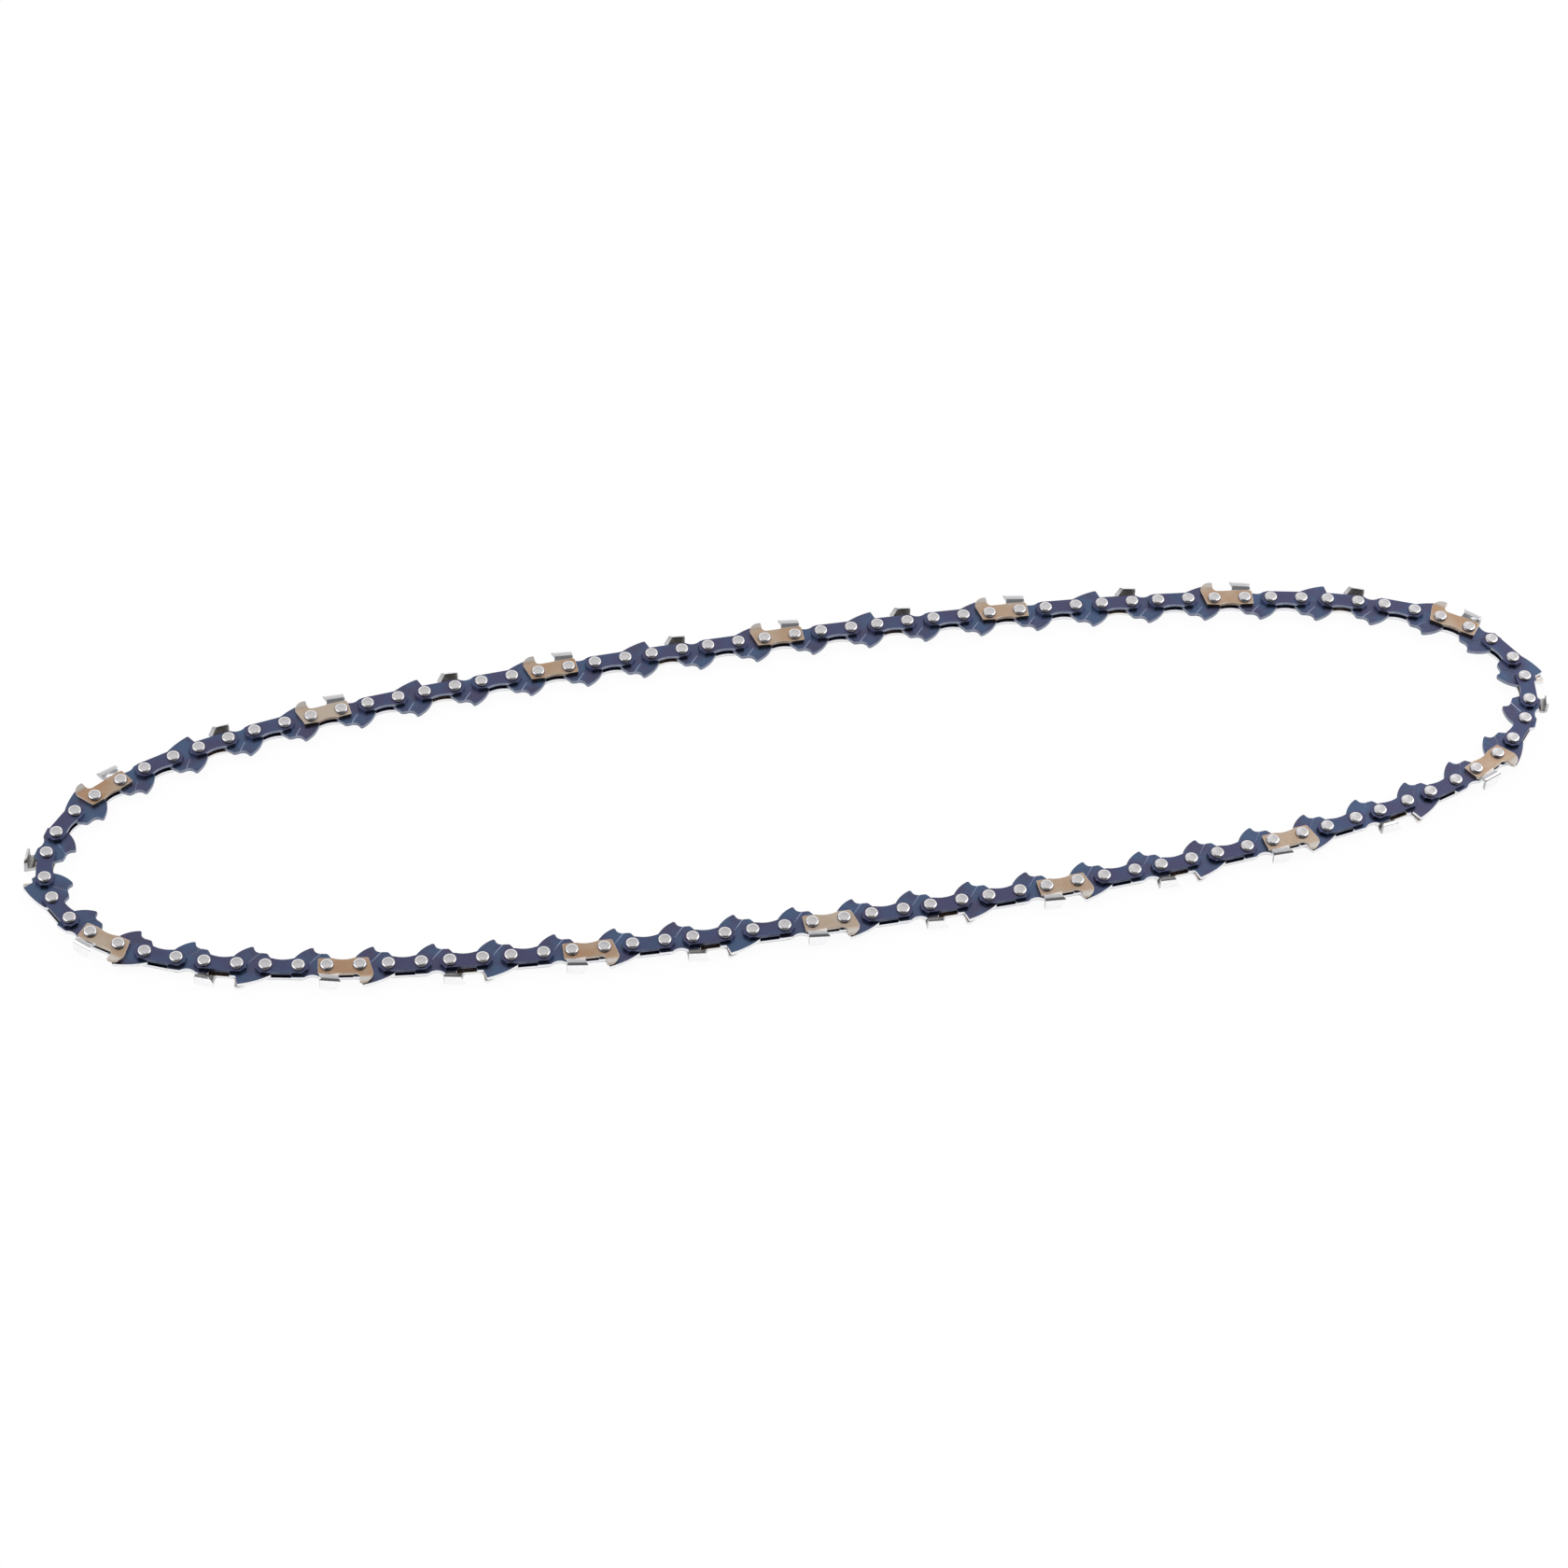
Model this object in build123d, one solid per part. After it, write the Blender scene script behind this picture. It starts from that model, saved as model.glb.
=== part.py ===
from build123d import *
import math
import os

# A saw chain loop lying on its side, with its rivets upright. Drive links run down the middle of the
# chain, and each hangs on rivets between a pair of side plates: two tie straps, or a cutter and a strap.
# The loop is walked clockwise from its left end, and the outer side of the chain is where it cuts.
# All lengths are in millimetres.

# Loop: rivet to rivet spacings, and how the loop bends
PITCH_UNITS = 56          # drive links, and as many pairs of side plates
PLATE_PITCH = 10.0        # between the two rivets of a side plate
LINK_PITCH = 8.64         # between the two holes of a drive link
END_SHARPNESS = 3.9       # how far the bending gathers at the two ends: 1 is a circle

# Layers across the chain
LINK_GAUGE = 1.3          # drive link, which runs in the groove of the guide bar
PLATE_T = 1.1             # tie strap, and the side plate of a cutter
SIDE_PLAY = 0.1           # between a drive link and the plate beside it

# Rivets
HUB_D = 3.3               # the thick middle, on which the drive link turns
PIVOT_PLAY = 0.06         # radial gap between the hub and the drive link's hole
HEAD_D = 4.4              # spun head, at its foot
HEAD_FLAT_D = 3.1         # spun head, across its flat top
HEAD_H = 0.8

# Tie straps: distances from the rivet line, outer side positive
STRAP_END = 3.05          # rivet to the end of the strap
STRAP_OUTER = 2.8
STRAP_INNER = 2.8
STRAP_WAIST = 2.15        # inner edge midway between the rivets
STRAP_WAIST_L = 7.0       # length of the waist along the strap
STRAP_CLIP = 1.7          # clipped corners

# Drive links: distances from the rivet line and from the nearer hole
EYE_END = 3.1             # hole to the end of the link
EYE_OUTER = 3.7           # flat shoulder outside each hole
EYE_SHOULDER = 1.9        # half length of that shoulder
DIP_OUTER = 2.7           # floor of the hollow between the shoulders
EYE_INNER = 2.4           # where the tang starts under each hole
HEEL_DEPTH = 5.4          # flat front foot of the tang
HEEL_L = 2.5              # length of that foot
TANG_DEPTH = 7.75         # point of the tang
TANG_TIP = 0.6            # blunt length of the point
TANG_BELLY = 5.4          # depth of the rounded back of the tang under the rear hole
BUMPER_OUTER = 6.95       # crest of a bumper link's ramp, just ahead of the depth gauge
BUMPER_BACK = 0.75        # crest to the rear hole
BUMPER_RISE = 5.75        # height of the ramp midway
BUMPER_FOOT = 2.9         # foot of the ramp, over the front hole

# Cutters: the front rivet is under the depth gauge and the rear rivet under the tooth
CUTTER_TOE = 2.6          # front rivet to the toe
CUTTER_HEEL = 2.7         # rear rivet to the heel
CUTTER_INNER = 2.8
CUTTER_WAIST = 2.2
CUTTER_WAIST_L = 6.6
GAUGE_REACH = 4.1         # front rivet to the nose of the depth gauge
GAUGE_OUTER = 6.65        # top of the depth gauge
GAUGE_NOSE = 3.0          # where the rounded nose begins
GAUGE_FOOT = 4.75         # where the back of the gauge turns into the gullet
GULLET_OUTER = 3.2        # floor of the gullet
FILE_R = 2.2              # round file that shapes the tooth's edge
FILE_AHEAD = 5.2          # centre of the file to the rear rivet
FILE_ANGLE = 20.0         # slant of the cutting edge across the top plate
ROOT_RISE = 0.1           # floor of the gullet to where the side plate starts to flare
TOOTH_FLARE_L = 1.6       # height of the flare
TOOTH_FLARE = 0.75        # how far the flare stands out from the side plate
TOOTH_OUTER = 7.0         # top plate at the cutting edge
TOOTH_CORNER = 1.0        # round corner where the side plate turns into the top plate
TOOTH_T = 0.9             # top plate thickness
TOOTH_W = 4.6             # top plate across the chain
TOOTH_REAR = 2.2          # rear rivet to the end of the tooth
TOOTH_RELIEF = 6.5        # fall of the top plate to the rear, in degrees

# Heights of the layers over the surface that the lower rivet heads stand on
FAR_Z = HEAD_H
LINK_Z = FAR_Z + PLATE_T + SIDE_PLAY
NEAR_Z = LINK_Z + LINK_GAUGE + SIDE_PLAY
TOP_Z = NEAR_Z + PLATE_T
HEIGHT = TOP_Z + HEAD_H
TOOTH_ROOT = GULLET_OUTER + ROOT_RISE
RIVET_COUNT = 2 * PITCH_UNITS
UP = (0, 0, 1)


def loop_rivets():
    """Rivet centres round the loop, each with the heading in degrees of the plate or link that follows it.

    The bend at a rivet is largest at the two ends and falls away along the sides. Both halves bend alike
    and each turns by half a circle, so the loop closes exactly.
    """
    half = RIVET_COUNT // 2
    angles = [math.pi * i / half for i in range(half)]
    share = [(math.cos(a) ** 2 + (END_SHARPNESS * math.sin(a)) ** 2) ** -1.5 for a in angles]
    turns = [180 * s / sum(share) for s in share]
    x = y = heading = 0.0
    walk = []
    for i in range(RIVET_COUNT):
        heading -= turns[i % half]
        walk.append((x, y, heading))
        step = PLATE_PITCH if i % 2 == 0 else LINK_PITCH
        x += step * math.cos(math.radians(heading))
        y += step * math.sin(math.radians(heading))
    across_x, across_y = walk[half][:2]
    tilt = math.atan2(across_y, across_x)
    rivets = []
    for x, y, heading in walk:
        dx = x - across_x / 2
        dy = y - across_y / 2
        along = dx * math.cos(tilt) + dy * math.sin(tilt)
        aside = dy * math.cos(tilt) - dx * math.sin(tilt)
        rivets.append((along, aside, heading - math.degrees(tilt)))
    return rivets


def stamping(outline, bottom, thickness):
    """A flat plate of the given outline, lifted to its layer."""
    return Pos(0, 0, bottom) * extrude(make_face(outline), thickness, dir=UP)


def rivet():
    """A rivet with its hub and both spun heads, as one turned shape."""
    hub_r = HUB_D / 2
    head_r = HEAD_D / 2
    flat_r = HEAD_FLAT_D / 2
    profile = Polyline(
        (0, 0, 0), (flat_r, 0, 0), (head_r, 0, FAR_Z), (hub_r, 0, FAR_Z),
        (hub_r, 0, TOP_Z), (head_r, 0, TOP_Z), (flat_r, 0, HEIGHT), (0, 0, HEIGHT), close=True,
    )
    return revolve(make_face(profile), Axis.Z)


def rivet_pair():
    """The two rivets of a side plate."""
    reach = PLATE_PITCH / 2
    return [Pos(-reach, 0, 0) * rivet(), Pos(reach, 0, 0) * rivet()]


def tie_strap(bottom):
    """A strap with clipped corners, a straight outer edge and a waist on the inner edge."""
    end = PLATE_PITCH / 2 + STRAP_END
    flat = end - STRAP_CLIP
    waist = STRAP_WAIST_L / 2
    outline = Polyline(
        (waist, -STRAP_INNER), (flat, -STRAP_INNER), (end, STRAP_CLIP - STRAP_INNER),
        (end, STRAP_OUTER - STRAP_CLIP), (flat, STRAP_OUTER), (-flat, STRAP_OUTER),
        (-end, STRAP_OUTER - STRAP_CLIP), (-end, STRAP_CLIP - STRAP_INNER),
        (-flat, -STRAP_INNER), (-waist, -STRAP_INNER),
    )
    outline += ThreePointArc((-waist, -STRAP_INNER), (0, -STRAP_WAIST), (waist, -STRAP_INNER))
    return stamping(outline, bottom, PLATE_T)


def cutter_side(bottom):
    """The flat side plate of a cutter: toe, depth gauge, gullet, and the root of the tooth."""
    front = -PLATE_PITCH / 2
    rear = PLATE_PITCH / 2
    toe = front - CUTTER_TOE
    heel = rear + CUTTER_HEEL
    nose = front - GAUGE_REACH
    waist = CUTTER_WAIST_L / 2
    gullet = front + GAUGE_FOOT - GULLET_OUTER
    file_x = rear - FILE_AHEAD
    file_y = GULLET_OUTER + FILE_R
    sweep = math.acos((file_y - TOOTH_ROOT) / FILE_R)
    filed_mid = (file_x + FILE_R * math.sin(sweep / 2), file_y - FILE_R * math.cos(sweep / 2))
    filed_end = (file_x + FILE_R * math.sin(sweep), TOOTH_ROOT)
    bow = math.sqrt(0.5)
    nose_mid = (front - GAUGE_REACH * bow, GAUGE_NOSE + (GAUGE_OUTER - GAUGE_NOSE) * bow)
    gullet_mid = (gullet + (front - gullet) * bow, GAUGE_FOOT + (GULLET_OUTER - GAUGE_FOOT) * bow)
    outline = Polyline((-waist, -CUTTER_INNER), (toe, -CUTTER_INNER), (nose, GAUGE_NOSE))
    outline += ThreePointArc((nose, GAUGE_NOSE), nose_mid, (front, GAUGE_OUTER))
    outline += Line((front, GAUGE_OUTER), (front, GAUGE_FOOT))
    outline += ThreePointArc((front, GAUGE_FOOT), gullet_mid, (gullet, GULLET_OUTER))
    outline += Line((gullet, GULLET_OUTER), (file_x, GULLET_OUTER))
    outline += ThreePointArc((file_x, GULLET_OUTER), filed_mid, filed_end)
    outline += Polyline(
        filed_end, (rear + TOOTH_REAR, TOOTH_ROOT), (heel, CUTTER_INNER),
        (heel, -CUTTER_INNER), (waist, -CUTTER_INNER),
    )
    outline += ThreePointArc((waist, -CUTTER_INNER), (0, -CUTTER_WAIST), (-waist, -CUTTER_INNER))
    return stamping(outline, bottom, PLATE_T)


def cutter_tooth(bottom):
    """The tooth: the side plate flares out, turns over into the top plate, and is filed hollow in front."""
    rear = PLATE_PITCH / 2
    file_x = rear - FILE_AHEAD
    file_y = GULLET_OUTER + FILE_R
    outer = bottom + PLATE_T
    crest = outer + TOOTH_FLARE
    flared = TOOTH_ROOT + TOOTH_FLARE_L
    turn = TOOTH_OUTER - TOOTH_CORNER
    under = TOOTH_OUTER - TOOTH_T
    bow = math.sqrt(0.5)
    corner_mid = (file_x, turn + TOOTH_CORNER * bow, crest - TOOTH_CORNER * (1 - bow))
    corner_end = (file_x, TOOTH_OUTER, crest - TOOTH_CORNER)
    section = Polyline(
        (file_x, flared, crest - TOOTH_T), (file_x, TOOTH_ROOT, bottom), (file_x, TOOTH_ROOT, outer),
        (file_x, flared, crest), (file_x, turn, crest),
    )
    section += ThreePointArc((file_x, turn, crest), corner_mid, corner_end)
    section += Polyline(
        corner_end, (file_x, TOOTH_OUTER, crest - TOOTH_W), (file_x, under, crest - TOOTH_W),
        (file_x, under, crest - TOOTH_T), (file_x, flared, crest - TOOTH_T),
    )
    slope = math.radians(TOOTH_RELIEF)
    length = FILE_AHEAD + TOOTH_REAR
    back = (math.cos(slope), -math.sin(slope), 0)
    blade = extrude(make_face(section), length / math.cos(slope), dir=back)
    file_l = 4 * TOOTH_W
    file_cut = Pos(file_x, file_y, bottom) * Rot(0, -FILE_ANGLE, 0) * Cylinder(FILE_R, file_l)
    blade -= file_cut
    return blade


def tie_strap_set():
    """Two tie straps held together by their rivets, as one riveted frame."""
    return Part() + [tie_strap(FAR_Z), tie_strap(NEAR_Z)] + rivet_pair()


def left_cutter_set():
    """A cutter on the upper side of the lying chain and a tie strap under it, with their rivets."""
    return Part() + [tie_strap(FAR_Z), cutter_side(NEAR_Z), cutter_tooth(NEAR_Z)] + rivet_pair()


def right_cutter_set():
    """The mirror image of a left cutter's set, with the cutter underneath."""
    return mirror(left_cutter_set(), Plane.XY.offset(HEIGHT / 2))


def drive_link(bumper):
    """A drive link with its tang, its two holes, and either a hollow outer edge or a bumper ramp."""
    front = -LINK_PITCH / 2
    rear = LINK_PITCH / 2
    bow = math.sqrt(0.5)
    front_low = (front - EYE_END * bow, -EYE_INNER)
    rear_low = (rear + EYE_END * bow, -EYE_INNER)
    front_foot = (front, -HEEL_DEPTH)
    rear_foot = (front + HEEL_L, -HEEL_DEPTH)
    tip = (0, -TANG_DEPTH)
    notch_mid = (rear_foot[0] * (1 - bow), -HEEL_DEPTH - (TANG_DEPTH - HEEL_DEPTH) * (1 - bow))
    front_top = (front - EYE_SHOULDER, BUMPER_FOOT if bumper else EYE_OUTER)
    rear_top = (rear + EYE_SHOULDER, EYE_OUTER)
    outline = Polyline(front_foot, front_low, (front - EYE_END, 0), front_top)
    if bumper:
        crest = (rear - BUMPER_BACK, BUMPER_OUTER)
        outline += ThreePointArc(front_top, (-BUMPER_BACK, BUMPER_RISE), crest)
        outline += Polyline(crest, (rear, EYE_OUTER), rear_top)
    else:
        dip = (front + EYE_SHOULDER, EYE_OUTER)
        rise = (rear - EYE_SHOULDER, EYE_OUTER)
        outline += Line(front_top, dip)
        outline += ThreePointArc(dip, (0, DIP_OUTER), rise)
        outline += Line(rise, rear_top)
    outline += Polyline(rear_top, (rear + EYE_END, 0), rear_low)
    outline += ThreePointArc(rear_low, (rear, -TANG_BELLY), (TANG_TIP, -TANG_DEPTH))
    outline += Line((TANG_TIP, -TANG_DEPTH), tip)
    outline += ThreePointArc(tip, notch_mid, rear_foot)
    outline += Line(rear_foot, front_foot)
    link = stamping(outline, LINK_Z, LINK_GAUGE)
    hole = Pos(0, 0, HEIGHT / 2) * Cylinder(HUB_D / 2 + PIVOT_PLAY, HEIGHT)
    return link - [Pos(front, 0, 0) * hole, Pos(rear, 0, 0) * hole]


def placed(shape, start, end):
    """A shape drawn about the middle of its two rivets, moved to where those rivets are on the loop."""
    middle = ((start[0] + end[0]) / 2, (start[1] + end[1]) / 2, 0)
    return Location(middle, (0, 0, start[2])) * shape


def pitch_unit(index, rivets, side_sets, links):
    """One pitch of the chain: a set of side plates and the drive link that follows it."""
    first, second, third = [rivets[(2 * index + i) % RIVET_COUNT] for i in range(3)]
    kind = ("right_cutter", "tie_straps", "left_cutter", "tie_straps")[index % 4]
    sides = placed(side_sets[kind], first, second)
    link = placed(links[index % 2], second, third)
    return f"link_{index + 1:02d}_{kind}", Compound(children=[sides, link])


def main():
    """Every pitch of the chain, one file each."""
    os.makedirs("parts", exist_ok=True)
    rivets = loop_rivets()
    side_sets = {
        "tie_straps": tie_strap_set(),
        "left_cutter": left_cutter_set(),
        "right_cutter": right_cutter_set(),
    }
    links = (drive_link(bumper=False), drive_link(bumper=True))
    for index in range(PITCH_UNITS):
        name, unit = pitch_unit(index, rivets, side_sets, links)
        export_step(unit, f"parts/{name}.step")


main()
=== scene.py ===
# %% [markdown]
# A loop of saw chain lies on its side on a white table, with its rivets upright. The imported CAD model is
# the frame: it gives the place and the movement of every pitch of the chain. Here each pitch is dressed
# with the separate pieces that the real chain is riveted together from: drive links in the middle,
# straps and cutters on both sides of them, and rivets through all three layers.

# %% Load the frame
import math
import bmesh
import bpy
from mathutils import Matrix, Vector


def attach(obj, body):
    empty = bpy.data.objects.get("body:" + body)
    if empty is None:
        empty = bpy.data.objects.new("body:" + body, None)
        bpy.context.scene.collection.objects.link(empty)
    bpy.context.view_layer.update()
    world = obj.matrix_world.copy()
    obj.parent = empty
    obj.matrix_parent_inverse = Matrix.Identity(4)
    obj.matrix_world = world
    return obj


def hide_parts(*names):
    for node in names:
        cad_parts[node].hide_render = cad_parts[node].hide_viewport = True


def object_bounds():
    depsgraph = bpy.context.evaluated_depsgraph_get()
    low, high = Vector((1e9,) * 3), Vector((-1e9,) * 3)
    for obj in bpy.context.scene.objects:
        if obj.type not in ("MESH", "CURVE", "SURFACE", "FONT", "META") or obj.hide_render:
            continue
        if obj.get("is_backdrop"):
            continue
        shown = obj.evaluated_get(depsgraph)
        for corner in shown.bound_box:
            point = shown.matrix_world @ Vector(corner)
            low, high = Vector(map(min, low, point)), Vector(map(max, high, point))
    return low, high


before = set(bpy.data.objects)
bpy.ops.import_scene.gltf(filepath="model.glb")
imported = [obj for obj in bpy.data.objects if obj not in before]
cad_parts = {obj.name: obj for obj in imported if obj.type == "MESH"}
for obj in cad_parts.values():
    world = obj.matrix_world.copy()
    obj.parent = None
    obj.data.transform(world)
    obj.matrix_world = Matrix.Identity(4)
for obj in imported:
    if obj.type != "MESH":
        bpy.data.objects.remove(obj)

cad_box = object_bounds()
print("frame:", len(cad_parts), "pitches, box", [round(v, 4) for corner in cad_box for v in corner])

# %% [markdown]
# The chain is drawn in millimetres, the way a chain maker's sheet gives it, and each finished mesh is
# scaled to metres once. The sizes are those of the CAD part: three rivets in 18.64 mm, drive links
# 1.3 mm thick, and the layers stacked up from the lower rivet heads, which stand on the table.

# %% Sizes of the loop and of its layers
MM = 0.001
PITCHES = 56
RIVETS = 2 * PITCHES
PLATE_PITCH = 10.0
LINK_PITCH = 8.64
END_SHARPNESS = 3.9
HUB_D = 3.3
PIVOT_PLAY = 0.06
PLATE_T = 1.1
LINK_T = 1.3
HEAD_H = 0.8
SIDE_PLAY = 0.1
LOWER_Z = HEAD_H
LINK_Z = LOWER_Z + PLATE_T + SIDE_PLAY
UPPER_Z = LINK_Z + LINK_T + SIDE_PLAY
TOP_Z = UPPER_Z + PLATE_T
HEIGHT = TOP_Z + HEAD_H
print("layers at", LOWER_Z, LINK_Z, UPPER_Z, "and", round(HEIGHT, 3), "mm over the rivet heads")

# %% [markdown]
# A chain laid down by hand isn't a circle or an ellipse: it runs nearly straight along its sides and
# bends most at its two ends. One law gives the bend at each rivet. Both halves bend alike and each turns
# by half a circle, so the loop closes without any fitting.

# %% Walk round the loop from rivet to rivet
def loop_rivets():
    """Each rivet's place in mm, with the heading in degrees of the plate or link that follows it."""
    half = RIVETS // 2
    angles = [math.pi * i / half for i in range(half)]
    share = [(math.cos(a) ** 2 + (END_SHARPNESS * math.sin(a)) ** 2) ** -1.5 for a in angles]
    turns = [180 * s / sum(share) for s in share]
    spot, heading, walk = Vector((0, 0)), 0.0, []
    for i in range(RIVETS):
        heading -= turns[i % half]
        walk.append((spot.copy(), heading))
        step = PLATE_PITCH if i % 2 == 0 else LINK_PITCH
        spot += Vector((math.cos(math.radians(heading)), math.sin(math.radians(heading)))) * step
    across = walk[half][0]
    tilt = math.atan2(across.y, across.x)
    level = Matrix.Rotation(-tilt, 2)
    return [(level @ (place - across / 2), heading - math.degrees(tilt)) for place, heading in walk]


rivets = loop_rivets()
reach = max(abs(place.x) for place, heading in rivets)
print("loop between rivet centres:", round(2 * reach, 1), "mm long")

# %% [markdown]
# Colours are written as the sRGB hex values that a paint program shows, and one function turns them into
# the linear values that Blender mixes light with. One more function adds a node: each key is a setting
# or an input of the node, and a value that is another node's output is linked instead of copied.

# %% Colours and nodes
def linear(code):
    """An sRGB hex colour as linear red, green, blue and alpha."""
    parts = [int(code[i:i + 2], 16) / 255 for i in (1, 3, 5)]
    return [v / 12.92 if v <= 0.04045 else ((v + 0.055) / 1.055) ** 2.4 for v in parts] + [1.0]


def add(tree, kind, values):
    """Add one node with its settings and links."""
    node = tree.nodes.new(kind)
    for key, value in values.items():
        if isinstance(value, bpy.types.NodeSocket):
            tree.links.new(value, node.inputs[key])
        elif isinstance(key, str) and hasattr(node, key):
            setattr(node, key, value)
        else:
            node.inputs[key].default_value = value
    return node


def bare_material(name):
    """An empty material with its output node, and the tree to build it in."""
    material = bpy.data.materials.new(name)
    material.use_nodes = True
    material.node_tree.nodes.clear()
    return material, material.node_tree, add(material.node_tree, "ShaderNodeOutputMaterial", {})


print("linear mid grey:", [round(v, 3) for v in linear("#808080")])

# %% [markdown]
# Two patterns come back on every stamped piece. One is the slow drift of its oxide's thickness, over
# about 7 mm: each piece starts at its own place in that noise, so no two look alike. The other is the
# grain that tumbling leaves, which breaks the gloss. It is drawn at 0.25 mm, coarser than the real marks
# so that it shows. Noise seldom leaves the middle of its range, so only that middle is spread out.

# %% Drift and grain of stamped steel
TINT_DRIFT = 7.0
START_SPREAD = 40.0
TUMBLED_GRAIN = 0.25
GRAIN_LOW, GRAIN_HIGH = 0.3, 0.7
RELIEF = 0.02


def own_drift(tree, place, detail):
    """A share that is a piece's own, and a slow noise that the piece starts at its own place in."""
    own = add(tree, "ShaderNodeObjectInfo", {}).outputs["Random"]
    start = add(tree, "ShaderNodeMath", {"operation": "MULTIPLY", 0: own, 1: START_SPREAD}).outputs[0]
    drift = add(tree, "ShaderNodeTexNoise", {
        "noise_dimensions": "4D", "Vector": place, "W": start,
        "Scale": 1 / (TINT_DRIFT * MM), "Detail": detail,
    }).outputs[0]
    return own, drift


def tumbled_grain(tree, place, smooth, rough):
    """The fine grain of a tumbled piece, with the gloss and the shallow relief that it gives."""
    grain = add(tree, "ShaderNodeTexNoise", {
        "Vector": place, "Scale": 1 / (TUMBLED_GRAIN * MM), "Detail": 4.0, "Roughness": 0.6,
    }).outputs[0]
    gloss = add(tree, "ShaderNodeMapRange", {
        "Value": grain, "From Min": GRAIN_LOW, "From Max": GRAIN_HIGH, "To Min": smooth, "To Max": rough,
    }).outputs[0]
    relief = add(tree, "ShaderNodeBump", {
        "Height": grain, "Strength": 0.25, "Distance": RELIEF * MM,
    }).outputs[0]
    return grain, gloss, relief


print("tint drifts over", TINT_DRIFT, "mm, grain of", TUMBLED_GRAIN, "mm")

# %% [markdown]
# Links and straps are stamped from strip steel that was heated in air until a thin oxide grew on it.
# That oxide is the blue: its thickness differs a little from piece to piece and across each piece, so
# the blue drifts towards violet. A clear coat over grey steel would be one way to make it. A tinted
# metal is simpler, and it keeps its blue in the highlights too, as thin oxide does.

# %% Heat-blued steel
TINT_LOW, TINT_HIGH = 0.36, 0.64
GRAIN_SHADE = 0.14


def heat_blued_steel(name, blue, violet, lean, smooth, rough):
    """Stamped steel with a blued oxide; lean moves the tint towards violet."""
    material, tree, out = bare_material(name)
    place = add(tree, "ShaderNodeTexCoord", {}).outputs["Object"]
    _, drift = own_drift(tree, place, 2.0)
    tint = add(tree, "ShaderNodeMapRange", {
        "interpolation_type": "SMOOTHSTEP", "Value": drift,
        "From Min": TINT_LOW - lean, "From Max": TINT_HIGH - lean,
    }).outputs[0]
    oxide = add(tree, "ShaderNodeMix", {
        "data_type": "RGBA", 0: tint, 6: linear(blue), 7: linear(violet),
    }).outputs[2]
    grain, gloss, relief = tumbled_grain(tree, place, smooth, rough)
    shade = add(tree, "ShaderNodeMapRange", {
        "Value": grain, "From Min": GRAIN_LOW, "From Max": GRAIN_HIGH,
        "To Min": 1 - GRAIN_SHADE, "To Max": 1 + GRAIN_SHADE,
    }).outputs[0]
    colour = add(tree, "ShaderNodeVectorMath", {"operation": "SCALE", 0: oxide, "Scale": shade}).outputs[0]
    steel = add(tree, "ShaderNodeBsdfPrincipled", {
        "Base Color": colour, "Metallic": 1.0, "Roughness": gloss, "Normal": relief,
    })
    tree.links.new(steel.outputs[0], out.inputs[0])
    return material


# A dark satin blue on the links, and a slightly darker, smoother and more violet one on the straps.
blued_link = heat_blued_steel("heat_blued_link_steel", "#4a5b77", "#4d4c65", 0.0, 0.28, 0.40)
blued_strap = heat_blued_steel("heat_blued_strap_steel", "#485370", "#4c4b67", 0.04, 0.25, 0.37)
print("blued finishes:", blued_link.name, blued_strap.name)

# %% [markdown]
# Along the rim of a stamping the oxide is rubbed thin and the steel shows through, and the lighter rim is
# partly a painted highlight. The walls that the punch cut look different from place to place: dark round
# the upper straps, and half bright where they slide on the bar. On the outer walls of the links, and on
# the lower straps and lower cutters, they are painted near white, a painted bright reflection, so that
# they fade into the white table. One material with a mask could hold all of this, but a finish for each
# kind of wall is easier to see and to change. Patches of about 1.2 mm, where the steel is worn more, keep
# these narrow faces from looking painted.

# %% Rubbed edges and punched walls
WORN_PATCH = 1.2
PATCH_LOW, PATCH_HIGH = 0.35, 0.65


def rubbed_steel(name, colour, worn, rough):
    """Steel in one colour, with patches of a second one where it is worn more."""
    material, tree, out = bare_material(name)
    place = add(tree, "ShaderNodeTexCoord", {}).outputs["Object"]
    patches = add(tree, "ShaderNodeTexNoise", {
        "Vector": place, "Scale": 1 / (WORN_PATCH * MM), "Detail": 3.0,
    }).outputs[0]
    where = add(tree, "ShaderNodeMapRange", {
        "Value": patches, "From Min": PATCH_LOW, "From Max": PATCH_HIGH,
    }).outputs[0]
    mixed = add(tree, "ShaderNodeMix", {
        "data_type": "RGBA", 0: where, 6: linear(colour), 7: linear(worn),
    }).outputs[2]
    steel = add(tree, "ShaderNodeBsdfPrincipled", {
        "Base Color": mixed, "Metallic": 1.0, "Roughness": rough,
    })
    tree.links.new(steel.outputs[0], out.inputs[0])
    return material


# A fine lighter line round each flat: rubbed steel, and partly a painted highlight.
rubbed_and_highlit_edge = rubbed_steel("rubbed_edge_of_blued_steel", "#59627c", "#7f879c", 0.26)
# Painted near white, a painted bright reflection: nearly a mirror, so over the table it is as white as the
# table.
painted_white_wall = rubbed_steel("sheared_strip_steel", "#f4f4f5", "#e9e9ec", 0.2)
# A dull dark outline that sets the upper straps off from what lies under them.
blued_wall = rubbed_steel("blued_wall_of_strap_steel", "#434858", "#565b6b", 0.34)
# A mid grey along the inner edges.
rubbed_wall = rubbed_steel("rubbed_wall_of_strap_steel", "#787e90", "#8d92a2", 0.3)
print("edge finishes:", rubbed_and_highlit_edge.name, painted_white_wall.name, blued_wall.name, rubbed_wall.name)

# %% [markdown]
# A stamping is an outline with thickness. Its outline is drawn as a list of points: straight runs by
# their corners, round runs as part of the circle through three points. A punched edge never has
# perfectly sharp corners, so a last step eases each one.

# %% Draw outlines
CORNER_FROM = math.radians(22)
EASED_SHARE = 0.45


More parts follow.
